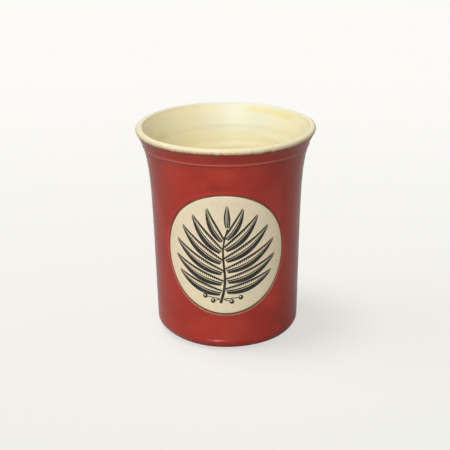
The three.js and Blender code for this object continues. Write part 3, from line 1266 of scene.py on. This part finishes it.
# %% [markdown]
# ## The red glaze
# Iron red is never one colour. It is deeper where it pooled, brighter where it lies a little thin,
# brownish and pale where it ran thin over an edge, and clouded all over. It is also painted darker as
# shade under the lip, in the groove and at the foot, and painted lighter as sheen on the turned lines,
# as a highlight above the medallion and on the bead below it. A painted texture could hold all that, but
# it needs a picture and a seam. So noise of three sizes makes the clouds, and the thickness stored on
# the mesh makes the edges and the painted shade and sheen.

# %% Red glaze
RED = plain(173, 50, 38)
RED_DEEP = plain(163, 45, 34)
RED_WARM = plain(179, 61, 46)
# Lighter red where the glaze is thin, and for painted sheen and a painted highlight
RED_BRIGHT = plain(190, 57, 42)
# Pale red where the glaze runs thin over an edge, and for a painted highlight on the bead below the
# medallion
RED_THIN_LIT = plain(172, 98, 79)
# Dark red where the glaze pooled, and for painted shade under the lip, in the groove and at the foot
RED_POOLED_SHADE = plain(102, 41, 31)


def red_glaze():
    finish = Finish("red_glaze_satin", IOR=1.45)
    clouds = finish.ramp(finish.noise(15 * MM, detail=3, roughness=0.5), low=0.38, high=0.64)
    runs = finish.noise(7 * MM, detail=3, roughness=0.5, stretch=(1, 1, 0.7))
    runs = finish.ramp(runs, low=0.44, high=0.7)
    base = finish.mix(clouds, RED, RED_DEEP)
    base = finish.mix(finish.calculate("MULTIPLY", runs, 0.6), base, RED_WARM)
    # The depth mark also carries painted shade, painted sheen and a painted highlight
    depth = finish.calculate("ADD", finish.mark("coat"), finish.jitter(2.5 * MM, detail=4, amount=0.1))
    base = finish.mix(finish.ramp(depth, low=0.49, high=0.33), base, RED_BRIGHT)
    base = finish.mix(finish.ramp(depth, low=0.42, high=0.08), base, RED_THIN_LIT)
    base = finish.mix(finish.ramp(depth, low=0.55, high=1.0), base, RED_POOLED_SHADE)
    finish.colour(base)
    finish.roughness(6 * MM, detail=3, low=0.15, high=0.25)
    finish.relief(7 * MM, detail=2, depth=0.05 * MM)
    return finish


dress(red_coat, red_glaze())

# %% [markdown]
# ## The cream glaze
# The liner is a warm cream, a little greyer on the crest of the lip, where it is painted darker as
# shade, and whiter and greener high on the back, where a sheen is painted. In the turn under the lip it
# is yellow on one side, where it pooled, and faintly tan on the other. At its lower edge it ran into the
# red, and goes from a faint pink to brown. Height alone could place these, but most lie on one side
# only. So they are numbers stored on the mesh, and noise breaks them up.

# %% Cream glaze
CREAM = plain(238, 226, 185)
CREAM_PALE = plain(235, 228, 192)
CREAM_DULL = plain(224, 210, 163)
CREAM_POOLED = plain(227, 214, 152)
# Faint tan on one side of the back
CREAM_TAN = plain(238, 224, 180)
# Painted shade on the crest of the lip
CREAM_RIM_SHADE = plain(225, 214, 177)
# Painted sheen high on the back
CREAM_SHEEN = plain(225, 223, 196)
CREAM_LAP = plain(216, 186, 152)
CREAM_EDGE = plain(158, 98, 80)


def cream_glaze():
    finish = Finish("cream_glaze_gloss", IOR=1.5)
    clouds = finish.ramp(finish.noise(16 * MM, detail=4, stretch=(1, 1, 2.2)), low=0.35, high=0.65)
    base = finish.mix(clouds, CREAM, CREAM_PALE)
    streaks = finish.ramp(finish.noise(8 * MM, detail=4, stretch=(0.5, 0.5, 4)), low=0.5, high=0.72)
    base = finish.mix(finish.calculate("MULTIPLY", streaks, 0.55), base, CREAM_DULL)
    # A painted sheen, whiter and greener, high on the back
    sheen = finish.mark("sheen")
    base = finish.mix(sheen, base, CREAM_SHEEN)
    patches = finish.ramp(finish.noise(14 * MM, detail=3), low=0.3, high=0.6, from_value=0.5)
    # Yellow where the glaze pooled on one side of the back, faintly tan on the other
    for mark, colour in (("pool", CREAM_POOLED), ("tan_band", CREAM_TAN)):
        base = finish.mix(finish.calculate("MULTIPLY", finish.mark(mark), patches), base, colour)
    # Painted shade on the crest of the lip, blended into the painted sheen at the back
    base = finish.mix(finish.mark("rim_shade"), base, finish.mix(sheen, CREAM_RIM_SHADE, CREAM_SHEEN))
    lap = finish.mark("lap")
    ragged = finish.calculate("MULTIPLY", lap, finish.jitter(1.6 * MM, detail=3, amount=0.3))
    lap = finish.calculate("ADD", lap, ragged)
    base = finish.mix(finish.ramp(lap, low=0.08, high=0.42), base, CREAM_LAP)
    base = finish.mix(finish.ramp(lap, low=0.66, high=1.0), base, CREAM_EDGE)
    finish.colour(base)
    finish.roughness(5 * MM, detail=3, low=0.36, high=0.46)
    finish.relief(6 * MM, detail=2, depth=0.05 * MM)
    return finish


dress(liner, cream_glaze())

# %% [markdown]
# ## Pale clay, stain, ink and bare stoneware
# The disc is pale clay under a thin clear glaze, greenish in places and pink in others. The stain and the
# ink are iron brown and near black, and both wear thin in places. The bare clay of the foot is speckled.
# Each could be one colour, but unglazed and thinly glazed clay never is, so each has two or three colours
# mixed by noise, with a grain that fits its own clay.

# %% Medallion clay
DISC = plain(239, 225, 191)
DISC_WARM = plain(245, 224, 194)
DISC_GREEN = plain(224, 217, 179)


def medallion_finish():
    finish = Finish("medallion_satin", IOR=1.45)
    blotches = finish.ramp(finish.noise(8 * MM, detail=4), low=0.38, high=0.66)
    greens = finish.ramp(finish.noise(13 * MM, detail=3), low=0.45, high=0.7)
    base = finish.mix(blotches, DISC, DISC_WARM)
    base = finish.mix(finish.calculate("MULTIPLY", greens, 0.6), base, DISC_GREEN)
    grain = finish.noise(0.8 * MM, detail=2)
    grain = finish.ramp(grain, low=0.35, high=0.65, from_value=0.96, to_value=1.02)
    finish.colour(finish.mix(1.0, base, grain, blend="MULTIPLY"))
    finish.roughness(4 * MM, detail=2, low=0.36, high=0.48)
    finish.relief(2.2 * MM, detail=3, depth=0.04 * MM)
    return finish


dress(medallion, medallion_finish())

# %% Stain and ink
STAIN = plain(106, 74, 53)
STAIN_WORN = plain(132, 95, 69)
INK = plain(38, 38, 32)
INK_WORN = plain(66, 66, 56)


def stained(name, colour, worn, size):
    """A stain that wears thin, and dull where it does."""
    finish = Finish(name, IOR=1.45)
    wear = finish.ramp(finish.noise(size, detail=4), low=0.42, high=0.75)
    finish.colour(finish.mix(wear, colour, worn))
    finish.set(finish.shader, "Roughness", finish.ramp(wear, 0, 1, from_value=0.4, to_value=0.55))
    finish.relief(0.9 * MM, detail=3, depth=0.02 * MM)
    return finish


dress(stain, stained("brown_stain", STAIN, STAIN_WORN, 5 * MM))
dress(sprig_piece, stained("dark_ink", INK, INK_WORN, 2.5 * MM))

# %% Bare clay and slip
CLAY = plain(196, 170, 138)
CLAY_DARK = plain(168, 138, 106)
CLAY_SPECK = plain(96, 72, 54)


def bare_clay(name, colour, darker):
    finish = Finish(name, IOR=1.45)
    clouds = finish.ramp(finish.noise(7 * MM, detail=5), low=0.35, high=0.68)
    base = finish.mix(clouds, colour, darker)
    specks = finish.ramp(finish.noise(0.7 * MM, detail=2), low=0.66, high=0.74)
    finish.colour(finish.mix(specks, base, CLAY_SPECK))
    finish.roughness(2 * MM, detail=3, low=0.75, high=0.92)
    finish.relief(0.5 * MM, detail=4, depth=0.05 * MM, strength=0.7)
    return finish


dress(clay, bare_clay("stoneware_bare", CLAY, CLAY_DARK))
dress(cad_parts["slip_bed"], bare_clay("slip_fired", CLAY_DARK, CLAY))

# %% [markdown]
# ## The table
# The photograph has a white table that runs out of sight and was printed almost white. Strong light could
# make a sheet that white, but it would bleach the mug too. So the sheet here is a plain pale grey that
# keeps the mug's shadow, and to the camera and in reflections it also glows a little, more so further
# away.

# %% A glow for the camera
SEEN_RAYS = ("Is Glossy Ray", "Is Transmission Ray", "Is Camera Ray")


def seen_level(tree, in_mirrors, elsewhere):
    """A strength that is one to the camera, less in reflections, and least as light on other things."""
    path = tree.nodes.new("ShaderNodeLightPath").outputs
    level = None
    for ray, strength in zip(SEEN_RAYS, (in_mirrors, in_mirrors, 1)):
        step = tree.nodes.new("ShaderNodeMapRange")
        tree.links.new(path[ray], step.inputs["Value"])
        step.inputs["To Min"].default_value = elsewhere
        step.inputs["To Max"].default_value = strength
        if level is None:
            level = step.outputs[0]
            continue
        larger = tree.nodes.new("ShaderNodeMath")
        larger.operation = "MAXIMUM"
        tree.links.new(level, larger.inputs[0])
        tree.links.new(step.outputs[0], larger.inputs[1])
        level = larger.outputs[0]
    return level


print("rays that see a glow:", SEEN_RAYS)

# %% Table
TABLE_SIZE = 6.0
TABLE_DROP = -0.02 * MM
TABLE_GREY = (0.4, 0.397, 0.38, 1)
GLOW_NEAR = (0.63, 0.628, 0.599, 1)
GLOW_FAR = (0.746, 0.738, 0.713, 1)
GLOW_CENTRE = (0, -0.3, 0)
GLOW_REACH = 0.9
MIRRORED_GLOW = 0.38


def table_finish():
    finish = Finish("white_table", Roughness=0.8, IOR=1.3)
    patches = finish.ramp(finish.noise(400 * MM, detail=2), *MOST_NOISE, from_value=0.99)
    finish.colour(finish.mix(1.0, TABLE_GREY, patches, blend="MULTIPLY"))
    ends = {0: finish.where, 1: GLOW_CENTRE}
    away = finish.add("ShaderNodeVectorMath", ends, "Value", operation="DISTANCE")
    glow = finish.mix(finish.ramp(away, 0, GLOW_REACH), GLOW_NEAR, GLOW_FAR)
    finish.set(finish.shader, "Emission Color", glow)
    finish.set(finish.shader, "Emission Strength", seen_level(finish.tree, MIRRORED_GLOW, 0))
    return finish


def lay_table():
    half = TABLE_SIZE / 2
    outline = ((-half, -half), (half, -half), (half, half), (-half, half))
    mesh = bpy.data.meshes.new("floor")
    mesh.from_pydata([(x, y, TABLE_DROP) for x, y in outline], [], [(0, 1, 2, 3)])
    sheet = put_in_scene("floor", mesh)
    dress(sheet, table_finish())
    return sheet


table = lay_table()

# %% [markdown]
# ## Light
# The mug stood between a broad soft light in front and a pale wall behind, with a weak fill on each side.
# Two smaller boxes in front drew the short highlights on its edges. The table was lit from a window on
# the left, which made the one soft shadow. One set of lamps could light both, but a photographer keeps
# such lights apart with flags. Light linking does that here: each lamp lists what it lights. The room
# itself is white to the camera, and dim as a light.

# %% Kinds of lamp
LAMP_AWAY = 2.0
BOX_AWAY = 1.0
BOX_SIZE = 0.22


def place_lamp(name, kind, turn, rise, away, power):
    """A lamp at an angle round from the medallion's side and an angle above the table, facing the mug."""
    turn, rise = math.radians(turn), math.radians(rise)
    level = math.cos(rise)
    toward = Vector((level * math.sin(turn), -level * math.cos(turn), math.sin(rise)))
    lamp = put_in_scene(name, bpy.data.lights.new(name, kind))
    lamp.data.energy = power
    lamp.location = Vector((0, 0, HEIGHT / 2)) + toward * away
    lamp.rotation_euler = toward.to_track_quat("Z", "Y").to_euler()
    print(f"{name} at", [round(x, 2) for x in lamp.location])
    return lamp


def far_light(name, turn, rise, spread, power):
    """A distant light that spreads over that many degrees of sky, so that its shadows are soft."""
    lamp = place_lamp(name, "SUN", turn, rise, LAMP_AWAY, power)
    lamp.data.angle = math.radians(spread)
    return lamp


def soft_box(name, turn, rise, power):
    lamp = place_lamp(name, "AREA", turn, rise, BOX_AWAY, power)
    lamp.data.size = BOX_SIZE
    return lamp


print(f"far lights stand {LAMP_AWAY:.0f} m away, boxes {BOX_AWAY:.0f} m away")

# %% Lamps
def light_only(lamps, name, pieces):
    lit = bpy.data.collections.new(name)
    for piece in pieces:
        lit.objects.link(piece)
    for lamp in lamps:
        lamp.light_linking.receiver_collection = lit


on_mug = [
    far_light("key_front", turn=-28, rise=25, spread=100, power=1.96),
    far_light("wall_behind", turn=184, rise=52, spread=90, power=1.65),
    far_light("fill_left", turn=-88, rise=35, spread=50, power=0.12),
    far_light("fill_right", turn=48, rise=58, spread=60, power=0.42),
    soft_box("box_front", turn=-14, rise=28, power=2.6),
    soft_box("box_high", turn=-24, rise=52, power=0.8),
]
on_table = [
    far_light("window_high", turn=-90, rise=80, spread=22, power=1.1),
    far_light("window_left", turn=-90, rise=35, spread=50, power=0.66),
]
light_only(on_mug, "lit_mug", (clay, liner, red_coat, medallion, stain, sprig_piece))
light_only(on_table, "lit_table", (table,))

# %% Room
ROOM_WHITE = (0.97, 0.96, 0.93, 1)
ROOM_LEVEL = 0.1
MIRRORED_ROOM = 0.12


def light_room():
    world = bpy.data.worlds.new("white_room")
    world.use_nodes = True
    background = world.node_tree.nodes["Background"].inputs
    background["Color"].default_value = ROOM_WHITE
    level = seen_level(world.node_tree, MIRRORED_ROOM, ROOM_LEVEL)
    world.node_tree.links.new(level, background["Strength"])
    bpy.context.scene.world = world
    return world


print("room:", light_room().name)
bpy.context.scene.view_settings.view_transform = "Standard"
